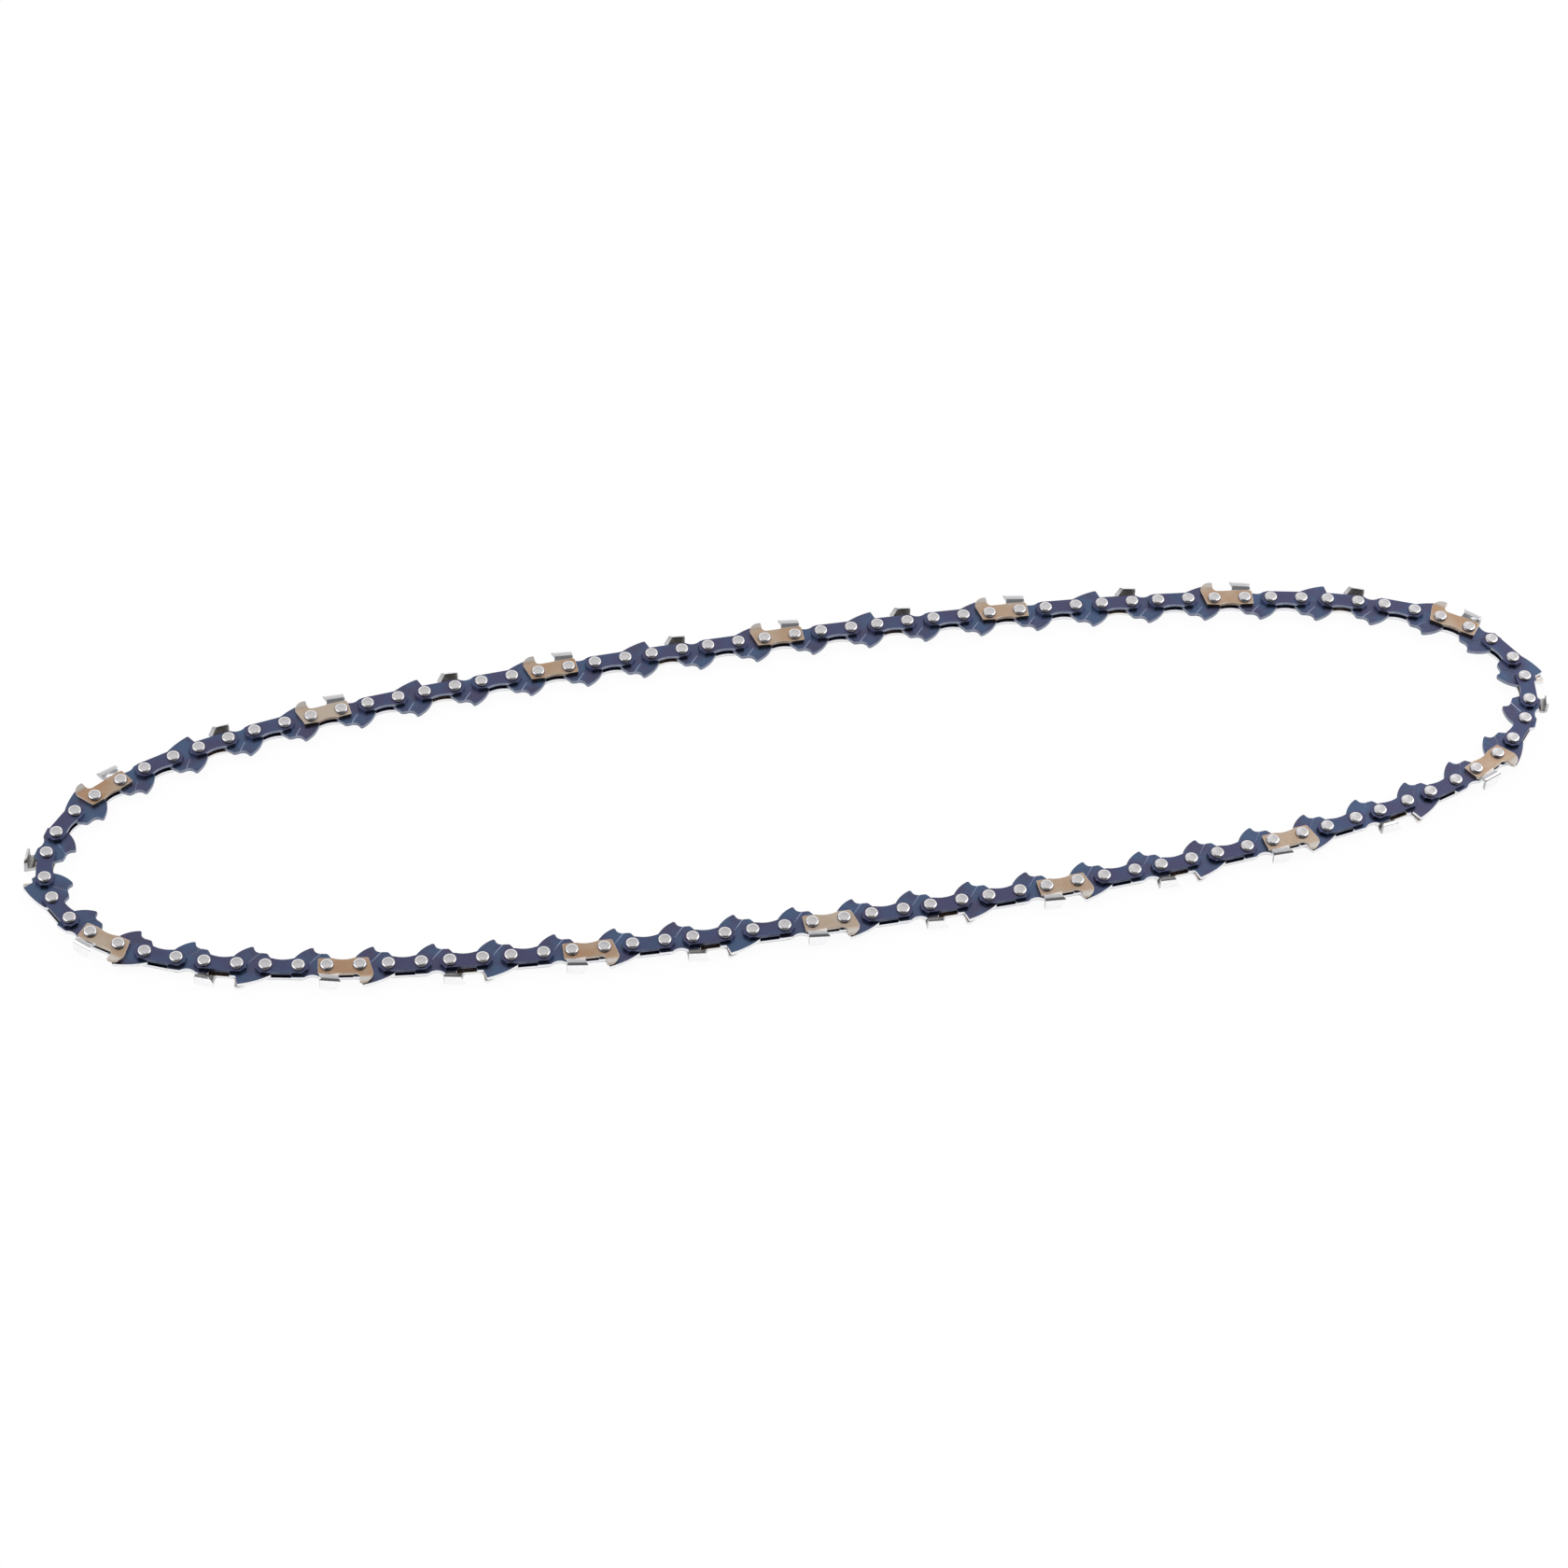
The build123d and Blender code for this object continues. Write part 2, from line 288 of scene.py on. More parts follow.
def arc(start, through, end, steps):
    """Points on the circle through three points, from start up to but without end."""
    a, b, c = Vector(start), Vector(through), Vector(end)
    turn = 2 * (a.x * (b.y - c.y) + b.x * (c.y - a.y) + c.x * (a.y - b.y))
    x = (a.dot(a) * (b.y - c.y) + b.dot(b) * (c.y - a.y) + c.dot(c) * (a.y - b.y)) / turn
    y = (a.dot(a) * (c.x - b.x) + b.dot(b) * (a.x - c.x) + c.dot(c) * (b.x - a.x)) / turn
    first, middle, last = [math.atan2(p.y - y, p.x - x) for p in (a, b, c)]
    sweep = (last - first) % math.tau
    if (middle - first) % math.tau > sweep:
        sweep -= math.tau
    radius = math.hypot(a.x - x, a.y - y)
    angles = [first + sweep * i / steps for i in range(steps)]
    return [(x + radius * math.cos(t), y + radius * math.sin(t)) for t in angles]


def eased(outline, radius, closed=True):
    """The outline with each real corner rounded; the small turns along an arc stay as they are."""
    points = [Vector(p) for p in outline]
    out = []
    for i, corner in enumerate(points):
        before, after = points[i - 1] - corner, points[(i + 1) % len(points)] - corner
        at_end = not closed and i in (0, len(points) - 1)
        turn = 0 if at_end else math.pi - before.angle(after)
        if turn < CORNER_FROM:
            out.append(tuple(corner))
            continue
        back = min(radius * math.tan(turn / 2), EASED_SHARE * before.length, EASED_SHARE * after.length)
        start, end = corner + before.normalized() * back, corner + after.normalized() * back
        for t in (0, 1 / 3, 2 / 3, 1):
            out.append(tuple(start * (1 - t) ** 2 + corner * 2 * t * (1 - t) + end * t * t))
    return out


def crossed(outline):
    """The outline with a point added wherever it crosses the line through the rivets."""
    out = []
    for here, following in zip(outline, outline[1:] + outline[:1]):
        out.append(here)
        if here[1] * following[1] < 0:
            share = here[1] / (here[1] - following[1])
            out.append((here[0] + (following[0] - here[0]) * share, 0.0))
    return out


quarter = arc((1, 0), (0.707, 0.707), (0, 1), steps=3)
print("a quarter circle:", [tuple(round(v, 2) for v in p) for p in quarter])

# %% [markdown]
# Each flat side of a stamping is one face with two round holes. A mesh face can't have holes, so it is
# split along the line through both rivets into two many-sided faces, one over that line and one under
# it. Cutting the holes with a Boolean would work too, but this way the points round a hole are known and
# the walls follow from them. The edges round the rim are rounded off like a tumbled part's. Outlines run
# anticlockwise.

# %% Sides, walls and rims
HOLE_STEPS = 24
EDGE_ROUND = 0.12
ON_LINE = 1e-9


def pierced_side(bm, rim, pitch, hole_d, z, up):
    """One flat side with two holes. Gives its rim and hole points in order."""
    edge = [bm.verts.new((x, y, z)) for x, y in rim]
    ring = [math.tau * i / HOLE_STEPS for i in range(HOLE_STEPS)]
    holes = [
        [bm.verts.new((middle + hole_d / 2 * math.cos(t), hole_d / 2 * math.sin(t), z)) for t in ring]
        for middle in (-pitch / 2, pitch / 2)
    ]
    on_line = [i for i, p in enumerate(rim) if abs(p[1]) < ON_LINE]
    right = max(on_line, key=lambda i: rim[i][0])
    left = min(on_line, key=lambda i: rim[i][0])
    half = HOLE_STEPS // 2
    count = len(edge)
    over = [edge[(right + i) % count] for i in range((left - right) % count + 1)]
    under = [edge[(left + i) % count] for i in range((right - left) % count + 1)]
    for hole in holes:
        over += hole[half::-1]
    for hole in reversed(holes):
        under += [hole[0]] + hole[:half - 1:-1]
    for loop in (over, under):
        bm.faces.new(loop if up else loop[::-1])
    return edge, holes


def walls(bm, lower, upper, finish=0, skip=()):
    """Upright faces between two closed rows of points."""
    count = len(lower)
    for i in range(count):
        if i not in skip:
            j = (i + 1) % count
            bm.faces.new((lower[i], lower[j], upper[j], upper[i])).material_index = finish


def round_edges(bm, edges, worn):
    """Round the given edges off, and give the narrow new faces the rim's finish: a rubbed edge, on the
    blued pieces partly a painted highlight.
    """
    return bmesh.ops.bevel(
        bm, geom=edges, offset=EDGE_ROUND, offset_type="OFFSET", segments=2, profile=0.5, affect="EDGES",
        clamp_overlap=False, material=worn,
    )["faces"]


print("each hole has", HOLE_STEPS, "points, and rims are rounded by", EDGE_ROUND, "mm")

# %% [markdown]
# A shape is worked on as a bmesh, the form in which Blender edits a mesh, and is then written to a mesh
# in metres. Modifiers do the rest. They are worked in at once, by asking for the evaluated mesh, so
# every piece is plain geometry afterwards. The last one weights the normals: it keeps the flats flat to
# the eye beside their rounded rims.

# %% From a worked shape to a mesh
SHARP_FROM = math.radians(38)


def worked(bm, name, finishes):
    """The worked shape as a mesh in metres, with its finishes."""
    bmesh.ops.recalc_face_normals(bm, faces=bm.faces)
    bm.transform(Matrix.Scale(MM, 4))
    mesh = bpy.data.meshes.new(name)
    bm.to_mesh(mesh)
    open_edges = [edge for edge in bm.edges if not edge.is_manifold]
    print(name + ":", len(bm.faces), "faces,", len(open_edges), "open edges")
    bm.free()
    for finish in finishes:
        mesh.materials.append(finish)
    return mesh


def modified(mesh, name, *settings):
    """A new mesh with modifiers worked in: each is its kind and its settings."""
    maker = bpy.data.objects.new(name, mesh)
    bpy.context.scene.collection.objects.link(maker)
    for kind, values in settings:
        modifier = maker.modifiers.new(kind.lower(), kind)
        for key, value in values.items():
            setattr(modifier, key, value)
    depsgraph = bpy.context.evaluated_depsgraph_get()
    result = bpy.data.meshes.new_from_object(
        maker.evaluated_get(depsgraph), preserve_all_data_layers=True, depsgraph=depsgraph)
    bpy.data.objects.remove(maker)
    bpy.data.meshes.remove(mesh)
    result.name = name
    return result


def smoothed(mesh):
    """The mesh shaded smooth where it is round and flat where it is flat."""
    mesh.shade_smooth()
    mesh.set_sharp_from_angle(angle=SHARP_FROM)
    return modified(mesh, mesh.name, ("WEIGHTED_NORMAL", {"keep_sharp": True}))


print("edges stay crisp from", round(math.degrees(SHARP_FROM)), "degrees")

# %% [markdown]
# With these helpers a stamping takes a few lines: two pierced sides, the walls between them, and rounded
# rims. Each face has the number of its finish in the mesh's list: 0 for the flats, and the names below
# for the others. Walls on the side that faces into the loop count as inner ones.

# %% Make a stamping
RIM, WALL, INNER_WALL = 1, 2, 3


def stamping(name, outline, pitch, hole_d, bottom, thickness, finishes):
    """A flat punched piece with two rivet holes and rounded rims."""
    bm = bmesh.new()
    rim = crossed(outline)
    low, low_holes = pierced_side(bm, rim, pitch, hole_d, bottom, False)
    high, high_holes = pierced_side(bm, rim, pitch, hole_d, bottom + thickness, True)
    for lower, upper in zip([low] + low_holes, [high] + high_holes):
        walls(bm, lower, upper, WALL)
    rims = [bm.edges.get((row[i - 1], row[i])) for row in (low, high) for i in range(len(row))]
    round_edges(bm, rims, RIM)
    for face in bm.faces:
        if face.material_index == WALL and face.calc_center_median().y < -hole_d / 2:
            face.material_index = INNER_WALL
    return worked(bm, name, finishes)


print("finishes of a stamping: flat 0, rim", RIM, "wall", WALL, "inner wall", INNER_WALL)

# %% [markdown]
# A tie strap holds two rivets at their spacing. On the real chain it has clipped corners, so that it
# clears the strap next to it when the chain bends, a straight outer edge and a shallow waist on the inner
# edge. It is the simplest stamping: one outline, made once for the upper layer and once for the lower one.
# Real straps are all alike. The upper ones stand out with dark walls, and the walls of the lower ones are
# painted near white, a painted bright reflection, so that they fade into the table: the two layers get
# different wall finishes.

# %% Tie straps
STRAP_END = 3.05
STRAP_OUTER = 2.8
STRAP_INNER = 2.8
STRAP_WAIST = 2.15
STRAP_WAIST_L = 7.0
STRAP_CLIP = 1.7
STRAP_EASE = 0.35


def strap_outline():
    end = PLATE_PITCH / 2 + STRAP_END
    flat = end - STRAP_CLIP
    waist = STRAP_WAIST_L / 2
    corners = [(-flat, -STRAP_INNER)]
    corners += arc((-waist, -STRAP_INNER), (0, -STRAP_WAIST), (waist, -STRAP_INNER), steps=12)
    corners += [
        (waist, -STRAP_INNER), (flat, -STRAP_INNER), (end, STRAP_CLIP - STRAP_INNER),
        (end, STRAP_OUTER - STRAP_CLIP), (flat, STRAP_OUTER), (-flat, STRAP_OUTER),
        (-end, STRAP_OUTER - STRAP_CLIP), (-end, STRAP_CLIP - STRAP_INNER),
    ]
    return eased(corners, STRAP_EASE)


def tie_strap(name, bottom, outer_wall, inner_wall):
    finishes = (blued_strap, rubbed_and_highlit_edge, outer_wall, inner_wall)
    return smoothed(stamping(name, strap_outline(), PLATE_PITCH, HUB_D, bottom, PLATE_T, finishes))


upper_strap = tie_strap("upper_strap", UPPER_Z, blued_wall, rubbed_wall)
lower_strap = tie_strap("lower_strap", LOWER_Z, painted_white_wall, painted_white_wall)

# %% [markdown]
# A drive link runs in the groove of the guide bar: its tang points into the loop, with a flat front
# foot, a hollow notch, a point and a rounded back. Outside, a plain link has a hollow between two
# shoulders, and a bumper link has a ramp that guards the depth gauge behind it. The holes are larger
# than the rivet's hub by the play that lets the link turn.

# %% Drive link outlines
EYE_END = 3.1
EYE_OUTER = 3.7
EYE_SHOULDER = 1.9
DIP_OUTER = 2.7
EYE_INNER = 2.4
HEEL_DEPTH = 5.4
HEEL_L = 2.5
TANG_DEPTH = 7.75
TANG_TIP = 0.6
TANG_BELLY = 5.4
BUMPER_OUTER = 6.95
BUMPER_BACK = 0.75
BUMPER_RISE = 5.75
BUMPER_FOOT = 2.9
LINK_EASE = 0.45
# The middle of a quarter circle lies at this share of its radius along both axes.
DIAGONAL = math.sqrt(0.5)


def link_outline(bumper):
    front, rear = -LINK_PITCH / 2, LINK_PITCH / 2
    rear_foot, tip = (front + HEEL_L, -HEEL_DEPTH), (0, -TANG_DEPTH)
    notch_y = -HEEL_DEPTH - (TANG_DEPTH - HEEL_DEPTH) * (1 - DIAGONAL)
    notch = (rear_foot[0] * (1 - DIAGONAL), notch_y)
    rear_low, rear_top = (rear + EYE_END * DIAGONAL, -EYE_INNER), (rear + EYE_SHOULDER, EYE_OUTER)
    front_top = (front - EYE_SHOULDER, BUMPER_FOOT if bumper else EYE_OUTER)
    points = [(front, -HEEL_DEPTH)] + arc(rear_foot, notch, tip, steps=8) + [tip]
    points += arc((TANG_TIP, -TANG_DEPTH), (rear, -TANG_BELLY), rear_low, steps=14)
    points += [rear_low, (rear + EYE_END, 0), rear_top]
    if bumper:
        crest = (rear - BUMPER_BACK, BUMPER_OUTER)
        points += [(rear, EYE_OUTER)] + arc(crest, (-BUMPER_BACK, BUMPER_RISE), front_top, steps=14)
    else:
        dip, rise = (front + EYE_SHOULDER, EYE_OUTER), (rear - EYE_SHOULDER, EYE_OUTER)
        points += arc(rise, (0, DIP_OUTER), dip, steps=10) + [dip]
    points += [front_top, (front - EYE_END, 0), (front - EYE_END * DIAGONAL, -EYE_INNER)]
    return eased(points, LINK_EASE)


print("link outlines:", len(link_outline(False)), "and", len(link_outline(True)), "points")

# %% [markdown]
# A thin straight groove, pressed in to carry oil, crosses the tang of each link down to the foot's edge,
# and it shows as a fine lighter line. A Boolean modifier cuts it: a small wedge is taken out of both sides
# of the finished link, and the cut faces take the wedge's own finish, painted lighter than the oxide as a
# painted highlight. Painting the line alone would be quicker, but a cut one also catches the light on one
# of its sides.

# %% Oil grooves
GROOVE_FROM = (0.9, -1.7)
GROOVE_TO = (-2.35, -5.6)
GROOVE_W = 0.24
GROOVE_DEPTH = 0.12
# Painted lighter than the oxide as a painted highlight, but not glossy: the line shows and doesn't glare.
highlit_groove = rubbed_steel("bare_pressed_groove_steel", "#7a8299", "#8f97aa", 0.30)


def groove_wedge(face_z, inward):
    """A three-sided bar along the groove, with its point inside the link."""
    bm = bmesh.new()
    start, end = Vector(GROOVE_FROM), Vector(GROOVE_TO)
    side = (end - start).normalized().orthogonal() * GROOVE_W
    rows = []
    for spot in (start, end):
        top = face_z - inward * GROOVE_DEPTH
        section = ((spot + side, top), (spot - side, top), (spot, face_z + inward * GROOVE_DEPTH))
        rows.append([bm.verts.new((p.x * MM, p.y * MM, z * MM)) for p, z in section])
    walls(bm, rows[0], rows[1])
    bm.faces.new(rows[0])
    bm.faces.new(rows[1])
    bmesh.ops.recalc_face_normals(bm, faces=bm.faces)
    mesh = bpy.data.meshes.new("groove_wedge")
    bm.to_mesh(mesh)
    bm.free()
    mesh.materials.append(highlit_groove)
    wedge = bpy.data.objects.new("groove_wedge", mesh)
    bpy.context.scene.collection.objects.link(wedge)
    return wedge


def grooved(link):
    """The link with a groove pressed into both of its sides."""
    wedges = [groove_wedge(LINK_Z + LINK_T, -1), groove_wedge(LINK_Z, 1)]
    cut = {"operation": "DIFFERENCE", "solver": "EXACT", "material_mode": "TRANSFER"}
    result = modified(link, link.name, *[("BOOLEAN", {"object": wedge, **cut}) for wedge in wedges])
    for wedge in wedges:
        bpy.data.objects.remove(wedge)
    finishes = [finish.name for finish in result.materials]
    print(result.name, "grooved:", len(result.polygons), "faces, finishes", finishes)
    return result


print("groove:", GROOVE_W, "mm wide and", GROOVE_DEPTH, "mm deep")

# %% [markdown]
# The two kinds of link differ only in their outer edge, so one function makes both. Their outer walls are
# painted near white, a painted bright reflection that fades into the table. The inner ones, round the
# tang, are rubbed by the bar and the sprocket.

# %% Drive links
def drive_link(name, bumper):
    finishes = (blued_link, rubbed_and_highlit_edge, painted_white_wall, rubbed_wall)
    hole_d = HUB_D + 2 * PIVOT_PLAY
    plate = stamping(name, link_outline(bumper), LINK_PITCH, hole_d, LINK_Z, LINK_T, finishes)
    return smoothed(grooved(plate))


plain_link = drive_link("plain_link", False)
bumper_link = drive_link("bumper_link", True)

# %% [markdown]
# A rivet is a turned pin whose ends are spun over into heads after the chain is put together. The steel is
# left bare. Spinning leaves faint rings on the nearly flat middle of the head and burnishes the lip round
# it, and that lip is also painted lighter, partly as a painted highlight. The outer part of the shoulder,
# down to where the head meets the plate, is painted dark as shade. So the head has three finishes. The
# rings are drawn 0.3 mm apart, coarser than real ones so that they show.

# %% Spun rivet steel
RING_SPACING = 0.3
RIVET_SMEAR = 0.8
# Length of one wave in Blender's wave texture at scale 1.
WAVE_L = math.tau / 20


def spun_rivet_steel():
    material, tree, out = bare_material("spun_rivet_steel")
    place = add(tree, "ShaderNodeTexCoord", {}).outputs["Object"]
    rings = add(tree, "ShaderNodeTexWave", {
        "wave_type": "RINGS", "rings_direction": "Z", "Vector": place, "Distortion": 0.6,
        "Scale": WAVE_L / (RING_SPACING * MM), "Detail": 2.0, "Detail Scale": 2.0,
    }).outputs[1]
    smears = add(tree, "ShaderNodeTexNoise", {
        "Vector": place, "Scale": 1 / (RIVET_SMEAR * MM), "Detail": 3.0,
    }).outputs[0]
    colour = add(tree, "ShaderNodeMix", {
        "data_type": "RGBA", 0: smears, 6: linear("#c9c7c7"), 7: linear("#b4b2b5"),
    }).outputs[2]
    gloss = add(tree, "ShaderNodeMapRange", {
        "Value": smears, "From Min": GRAIN_LOW, "From Max": GRAIN_HIGH, "To Min": 0.22, "To Max": 0.34,
    }).outputs[0]
    relief = add(tree, "ShaderNodeBump", {
        "Height": rings, "Strength": 0.3, "Distance": RELIEF * MM,
    }).outputs[0]
    steel = add(tree, "ShaderNodeBsdfPrincipled", {
        "Base Color": colour, "Metallic": 1.0, "Roughness": gloss, "Normal": relief,
    })
    tree.links.new(steel.outputs[0], out.inputs[0])
    return material


# A pale satin middle, a glossy ring round it that is painted lighter, partly as a painted highlight, and a
# dark line at the foot that is painted shade.
rivet_steel = spun_rivet_steel()
burnished_and_highlit_ring = rubbed_steel("burnished_rivet_shoulder", "#d8d6d6", "#cbc9c9", 0.14)
painted_shade_foot = rubbed_steel("oiled_foot_of_rivet_head", "#77757a", "#8a888d", 0.2)
print("rivet finishes:", rivet_steel.name, burnished_and_highlit_ring.name, painted_shade_foot.name)

# %% [markdown]
# The rivet is turned: half of its profile is drawn once and spun round its axis, as on a lathe. The head
# has a slight dish in its middle, a low lip and a shoulder that rolls over to the plate.

# %% Turn the rivet
HEAD_D = 4.4
HEAD_FLAT_D = 3.1
DISH = 0.05
DISH_FLOOR, DISH_SIDE = 0.55, 0.82
SHOULDER_STEPS = 6
SHOULDER_FULLNESS = 0.8
LIP_SHARE = 0.5
RIVET_STEPS = 32
SAME_POINT = 1e-5


def turned_rivet():
    flat, foot, hub = HEAD_FLAT_D / 2, HEAD_D / 2, HUB_D / 2
    head = [
        (0, HEIGHT - DISH), (flat * DISH_FLOOR, HEIGHT - DISH), (flat * DISH_SIDE, HEIGHT - DISH / 2),
    ]
    for step in range(SHOULDER_STEPS + 1):
        turn = math.radians(90 * step / SHOULDER_STEPS)
        drop = math.cos(turn) ** SHOULDER_FULLNESS
        head.append((flat + (foot - flat) * math.sin(turn), TOP_Z + HEAD_H * drop))
    profile = head + [(hub, TOP_Z), (hub, LOWER_Z)] + [(r, HEIGHT - z) for r, z in reversed(head)]
    bm = bmesh.new()
    points = [bm.verts.new((r, 0, z)) for r, z in profile]
    edges = [bm.edges.new(pair) for pair in zip(points, points[1:])]
    bmesh.ops.spin(
        bm, geom=points + edges, axis=(0, 0, 1), cent=(0, 0, 0), angle=math.tau, steps=RIVET_STEPS)
    bmesh.ops.remove_doubles(bm, verts=bm.verts, dist=SAME_POINT)
    lip = flat + LIP_SHARE * (foot - flat)
    for face in bm.faces:
        radius = face.calc_center_median().xy.length
        face.material_index = int(radius > flat) + int(radius > lip)
    return smoothed(worked(bm, "rivet", (rivet_steel, burnished_and_highlit_ring, painted_shade_foot)))


rivet_mesh = turned_rivet()

# %% [markdown]
# Cutters are stamped too, but heated less than the links, so their oxide stops at straw and bronze, greyer
# on one cutter and browner on the next. The tip of the depth gauge is ground after that and shows pale
# steel with a ragged border. The tooth carries hard chrome, which is what stays sharp: a cold, smooth
# plating that mirrors what is round it. On the top plate it is painted near white, a painted bright
# reflection; round the bend it is painted greyer, as painted shade; and it is dull inside, where nothing
# polishes it.

# %% Cutter finishes
HEAT_SPREAD = 0.4
HEAT_LOW, HEAT_HIGH = 0.48, 0.92
GROUND_FROM = 4.6
GROUND_FADE = 1.4
GROUND_RAGGED = 1.2


def straw_tempered_steel(name, straw, brown, bare, smooth, rough):
    """Bronze oxide on a stamped plate, ground bare at the tip of the depth gauge."""
    material, tree, out = bare_material(name)
    place = add(tree, "ShaderNodeTexCoord", {}).outputs["Object"]
    own, drift = own_drift(tree, place, 3.0)
    heated = add(tree, "ShaderNodeMath", {
        "operation": "MULTIPLY_ADD", 0: own, 1: HEAT_SPREAD, 2: drift,
    }).outputs[0]
    tint = add(tree, "ShaderNodeMapRange", {
        "Value": heated, "From Min": HEAT_LOW, "From Max": HEAT_HIGH,
    }).outputs[0]
    oxide = add(tree, "ShaderNodeMix", {
        "data_type": "RGBA", 0: tint, 6: linear(straw), 7: linear(brown),
    }).outputs[2]
    outward = add(tree, "ShaderNodeSeparateXYZ", {0: place}).outputs["Y"]
    ragged = add(tree, "ShaderNodeMath", {
        "operation": "MULTIPLY_ADD", 0: drift, 1: GROUND_RAGGED * MM, 2: outward,
    }).outputs[0]
    ground = add(tree, "ShaderNodeMapRange", {
        "interpolation_type": "SMOOTHSTEP", "Value": ragged,
        "From Min": GROUND_FROM * MM, "From Max": (GROUND_FROM + GROUND_FADE) * MM,
    }).outputs[0]
    colour = add(tree, "ShaderNodeMix", {
        "data_type": "RGBA", 0: ground, 6: oxide, 7: linear(bare),
    }).outputs[2]
    _, gloss, relief = tumbled_grain(tree, place, smooth, rough)
    steel = add(tree, "ShaderNodeBsdfPrincipled", {
        "Base Color": colour, "Metallic": 1.0, "Roughness": gloss, "Normal": relief,
    })
    tree.links.new(steel.outputs[0], out.inputs[0])
    return material


# A warm satin plate with a paler rim.
bronzed_plate = straw_tempered_steel(
    "straw_tempered_cutter_steel", "#b3a596", "#a5866c", "#b8b3ae", 0.28, 0.38)
bronzed_edge = rubbed_steel("rubbed_edge_of_cutter_steel", "#c3b3a0", "#d4cdc6", 0.24)
# Brown walls that draw the plate's outline, and lighter ones where chips rub through the gullet.
bronzed_wall = rubbed_steel("straw_tempered_wall_of_cutter_steel", "#7d6f64", "#94867a", 0.32)
gullet_wall = rubbed_steel("punched_gullet_of_cutter_steel", "#b9ada1", "#a89b8f", 0.3)
# Mirrors with sharp bands of light and dark, and one soft grey finish inside the tooth.
chromed_flare = rubbed_steel("hard_chrome_on_cutter_steel", "#efeff2", "#e6e6ea", 0.13)
# Painted shade: chrome painted greyer round the bend, on the crest and the ends of the tooth.
painted_shade_bend = rubbed_steel("hard_chrome_over_a_bend", "#c2c2c5", "#b9b9bc", 0.13)
# Painted bright reflection: the top plate painted near white, so that it fades into the table.
painted_white_top = rubbed_steel("polished_hard_chrome", "#fbfbfc", "#f4f4f6", 0.09)
dull_inside = rubbed_steel("dull_chrome_inside_the_tooth", "#a8a6a3", "#9b9997", 0.4)
print("cutter finishes:", bronzed_plate.name, chromed_flare.name, painted_shade_bend.name, painted_white_top.name)

# %% [markdown]
# The cutter is the piece that takes the most skill. Its flat side plate has a toe, a rounded depth gauge
# in front, a gullet behind it, and the root of the tooth. A round file shapes the front of the tooth. It
# sits a little below the floor of the gullet, so the cutting edge hooks forward over it. It also runs
# across the chain at a slant, so its cut lies further forward on the outer face than on the inner one.
# That is why the outline depends on the height z at which it is drawn.

# %% Outline of the cutter's side plate
CUTTER_TOE = 2.6
CUTTER_HEEL = 2.7
CUTTER_INNER = 2.8
CUTTER_WAIST = 2.2
CUTTER_WAIST_L = 6.6
CUTTER_EASE = 0.5
GAUGE_REACH = 4.1
GAUGE_OUTER = 6.65
GAUGE_NOSE = 3.0
GAUGE_BOW = 0.77
GAUGE_FOOT = 4.75
GULLET_OUTER = 3.2
FILE_R = 2.2
FILE_AHEAD = 5.2
FILE_SLANT = math.radians(20)
FILE_HOOK = 0.4
ROOT_RISE = 0.1
TOOTH_ROOT = GULLET_OUTER + ROOT_RISE
TOOTH_REAR = 2.2
FRONT, REAR = -PLATE_PITCH / 2, PLATE_PITCH / 2
FILE_X, FILE_Y = REAR - FILE_AHEAD, GULLET_OUTER + FILE_R - FILE_HOOK
ROOT_STEPS = 7
FILE_STEPS = 2


def filed_x(y, z):
    """How far forward the slanted file reaches at a point of the tooth."""
    depth = math.sqrt(max(FILE_R ** 2 - (y - FILE_Y) ** 2, 0))
    return FILE_X - (z - UPPER_Z) * math.tan(FILE_SLANT) + depth / math.cos(FILE_SLANT)


def cutter_rim(z):
    """The rim at height z: the root of the tooth from back to front, the filed edge, then the rest."""
    depths = [TOOTH_ROOT + (GULLET_OUTER - TOOTH_ROOT) * i / FILE_STEPS for i in range(FILE_STEPS + 1)]
    filed = [(filed_x(y, z), y) for y in depths]
    back = Vector((REAR + TOOTH_REAR, TOOTH_ROOT))
    root = [tuple(back.lerp(Vector(filed[0]), i / ROOT_STEPS)) for i in range(ROOT_STEPS)]
    toe, heel, nose = FRONT - CUTTER_TOE, REAR + CUTTER_HEEL, (FRONT - GAUGE_REACH, GAUGE_NOSE)
    nose_mid = (FRONT - GAUGE_REACH * GAUGE_BOW, GAUGE_NOSE + (GAUGE_OUTER - GAUGE_NOSE) * GAUGE_BOW)
    gullet, foot = (FRONT + GAUGE_FOOT - GULLET_OUTER, GULLET_OUTER), (FRONT, GAUGE_FOOT)
    gullet_mid = (
        gullet[0] + (FRONT - gullet[0]) * DIAGONAL, GAUGE_FOOT + (GULLET_OUTER - GAUGE_FOOT) * DIAGONAL)
    waist = CUTTER_WAIST_L / 2
    rest = [filed[-1]] + arc(gullet, gullet_mid, foot, steps=8) + [foot]
    rest += arc((FRONT, GAUGE_OUTER), nose_mid, nose, steps=12) + [nose, (toe, -CUTTER_INNER)]
    rest += arc((-waist, -CUTTER_INNER), (0, -CUTTER_WAIST), (waist, -CUTTER_INNER), steps=12)
    rest += [(waist, -CUTTER_INNER), (heel, -CUTTER_INNER), (heel, CUTTER_INNER), tuple(back)]
    return crossed(root + filed + eased(rest, CUTTER_EASE, closed=False)[1:-1])


print("cutter rim:", len(cutter_rim(UPPER_Z)), "points")

# %% [markdown]
# The tooth is the side plate carried on: it flares out, stands up, and turns over into a top plate that
# covers the chain. Its section comes first, as pairs of points, one on the outer face and one on the
# inner. They stand close where the sheet bends and wide apart where it is straight.

